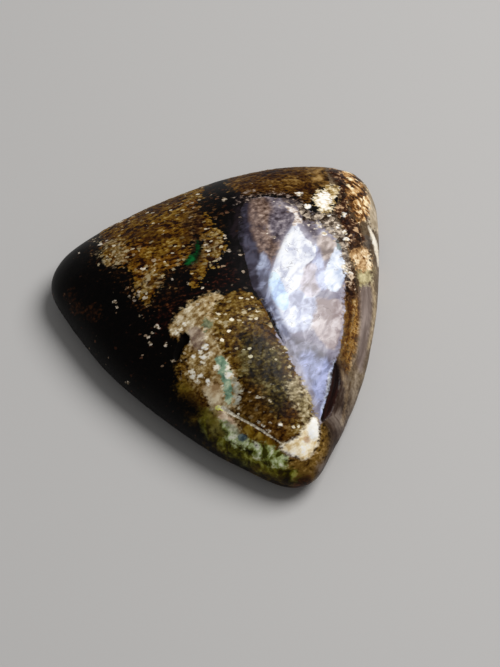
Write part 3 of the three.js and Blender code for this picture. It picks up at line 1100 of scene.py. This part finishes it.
def kept_on_stone(name, kind):
    return relief_tree.node("GeometryNodeInputNamedAttribute", {"data_type": kind}, {"Name": name})


def depth_in(name, low, high):
    """A marking's soft-edged share, from how far inside it a point is, in millimetres."""
    return kept_on_stone(name, "FLOAT").step(low, high)


spot = relief_tree.node("GeometryNodeInputPosition", {}, {})
raised_grain = dashes_at(spot) * 0.6 + fine_at(spot) * 0.4 - 0.5
raised_bands = bands_in(kept_on_stone("along_flank", "FLOAT_VECTOR")) - 0.5
swells = spot.stretched(4.0, 3.4, 4.0, 20).clouds(detail=1.0) - 0.5
chips = spot.stretched(0.9, 0.6, 0.7, 50, shift=5.1).clouds(detail=2.0, rough=0.6)
chips = chips.math("SNAP", chips, size("Chip Step")) - 0.5

sandy = (
    depth_in("sandy_patch", -0.1, 0.2)
    + depth_in("sandy_streak", -0.1, 0.2)
    + depth_in("far_band", -0.1, 0.2)
    + depth_in("swelling", -0.1, 0.3) * 0.35
)
lightly_chipped = (
    depth_in("dark_pocket", -0.1, 0.2)
    + depth_in("gold_flakes", -0.1, 0.2)
    + depth_in("cream_mass", -0.1, 0.2)
    + depth_in("dark_specks", -0.1, 0.2)
    + depth_in("tan_patch", -0.1, 0.2) * 0.5
)
chipped = depth_in("crumbled_edge", -0.1, 0.2) + lightly_chipped * 0.6
rise = (
    size("Grain Height") * raised_grain * sandy
    + size("Chip Depth") * chips * chipped
    + size("Band Height") * raised_bands * depth_in("flank", 0.0, 0.4)
    + size("Swell Height") * swells
    + size("Lens Height") * depth_in("tip_lens", -0.1, 0.4)
    - size("Crack Depth") * depth_in("crack", -0.12, 0.08)
    - size("Pit Depth") * depth_in("pit", -0.1, 0.35)
    - size("Scratch Depth") * depth_in("scratch", -0.08, 0.05)
    - size("Ledge Drop") * depth_in("red_wedge", -0.05, 0.12)
)
up_side = relief_tree.node("ShaderNodeSeparateXYZ", {}, {0: spot}, "Z").step(0.2 * MM, 1.5 * MM)
outward = relief_tree.node("GeometryNodeInputNormal", {}, {})
offset = relief_tree.node("ShaderNodeVectorMath", {"operation": "SCALE"},
                          {0: outward, "Scale": rise * up_side})
moved = relief_tree.node("GeometryNodeSetPosition", {},
                         {"Geometry": size("Geometry"), "Offset": offset})
whole = relief_tree.node("GeometryNodeRealizeInstances", {}, {"Geometry": moved})
finished = relief_tree.node("GeometryNodeSetMaterial", {},
                            {"Geometry": whole, "Material": size("Finish")})
relief.links.new(finished.socket, relief.nodes.new("NodeGroupOutput").inputs["Geometry"])

carving = stone.modifiers.new("relief", "NODES")
carving.node_group = relief
for socket in relief.interface.items_tree:
    if socket.in_out == "INPUT" and socket.name in RELIEF_SIZES:
        carving[socket.identifier] = RELIEF_SIZES[socket.name]
    elif socket.name == "Finish":
        carving[socket.identifier] = material
carved_stone = stone.evaluated_get(bpy.context.evaluated_depsgraph_get())
carved_mesh = bpy.data.meshes.new_from_object(carved_stone)
stone.modifiers.remove(carving)
stone.data = carved_mesh
carved_mesh.name = "boulder_opal_stone"
carved_mesh.shade_smooth()


# The surface: the colour, roughness and polish mixed above, with the finest grain as bump. The stone
# is one piece, so it has this one finish all over.
GRAIN_BUMP = 0.03 * MM
BUMP_STRENGTH = 0.3
POLISH_ROUGHNESS = 0.15
SHEEN = 0.06

shader = material.node_tree.nodes.new("ShaderNodeBsdfPrincipled")
shader.inputs["Coat Roughness"].default_value = POLISH_ROUGHNESS
shader.inputs["Specular IOR Level"].default_value = SHEEN
material.node_tree.links.new(finish.colour.socket, shader.inputs["Base Color"])
material.node_tree.links.new(finish.rough.socket, shader.inputs["Roughness"])
material.node_tree.links.new(finish.polish.socket, shader.inputs["Coat Weight"])
grain_height = (grains + fine * 0.5) * (1 - in_face * 0.85)
bump = finish_tree.node("ShaderNodeBump", {}, {"Height": grain_height, "Strength": BUMP_STRENGTH,
                                               "Distance": GRAIN_BUMP})
material.node_tree.links.new(bump.socket, shader.inputs["Normal"])
surface = material.node_tree.nodes.new("ShaderNodeOutputMaterial")
material.node_tree.links.new(shader.outputs[0], surface.inputs["Surface"])

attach(stone, "root")
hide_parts("boulder_opal")


# The floor and the light: a plain pale floor, one large soft lamp from the far right and a dim room
# all round.
FLOOR_SIZE = 3.0
FLOOR_COLOUR = "bcbab8"
FLOOR_ROUGHNESS = 0.7
LAMP_BEARING = Vector((0.46, 0.26, 0.85))
LAMP_DISTANCE = 400 * MM
LAMP_SIZE = 260 * MM
LAMP_POWER = 1.45
ROOM_LIGHT = 0.22

half = FLOOR_SIZE / 2
floor_corners = [(-half, -half, 0), (half, -half, 0), (half, half, 0), (-half, half, 0)]
floor_mesh = bpy.data.meshes.new("floor")
floor_mesh.from_pydata(floor_corners, [], [(0, 1, 2, 3)])
floor = bpy.data.objects.new("floor", floor_mesh)
bpy.context.scene.collection.objects.link(floor)
floor_material = bpy.data.materials.new("pale_floor")
floor_material.use_nodes = True
floor_shader = floor_material.node_tree.nodes["Principled BSDF"]
floor_shader.inputs["Base Color"].default_value = paint(FLOOR_COLOUR)
floor_shader.inputs["Roughness"].default_value = FLOOR_ROUGHNESS
floor_mesh.materials.append(floor_material)

lamp_data = bpy.data.lights.new("lamp", "AREA")
lamp_data.shape = "DISK"
lamp_data.size = LAMP_SIZE
lamp_data.energy = LAMP_POWER
lamp = bpy.data.objects.new("lamp", lamp_data)
bpy.context.scene.collection.objects.link(lamp)
lamp.location = CAMERA_AIM + LAMP_BEARING.normalized() * LAMP_DISTANCE
lamp.rotation_euler = LAMP_BEARING.to_track_quat("Z", "Y").to_euler()

world = bpy.data.worlds.new("room")
world.use_nodes = True
world.node_tree.nodes["Background"].inputs["Color"].default_value = (1, 1, 1, 1)
world.node_tree.nodes["Background"].inputs["Strength"].default_value = ROOM_LIGHT
bpy.context.scene.world = world
bpy.context.scene.view_settings.view_transform = "Standard"
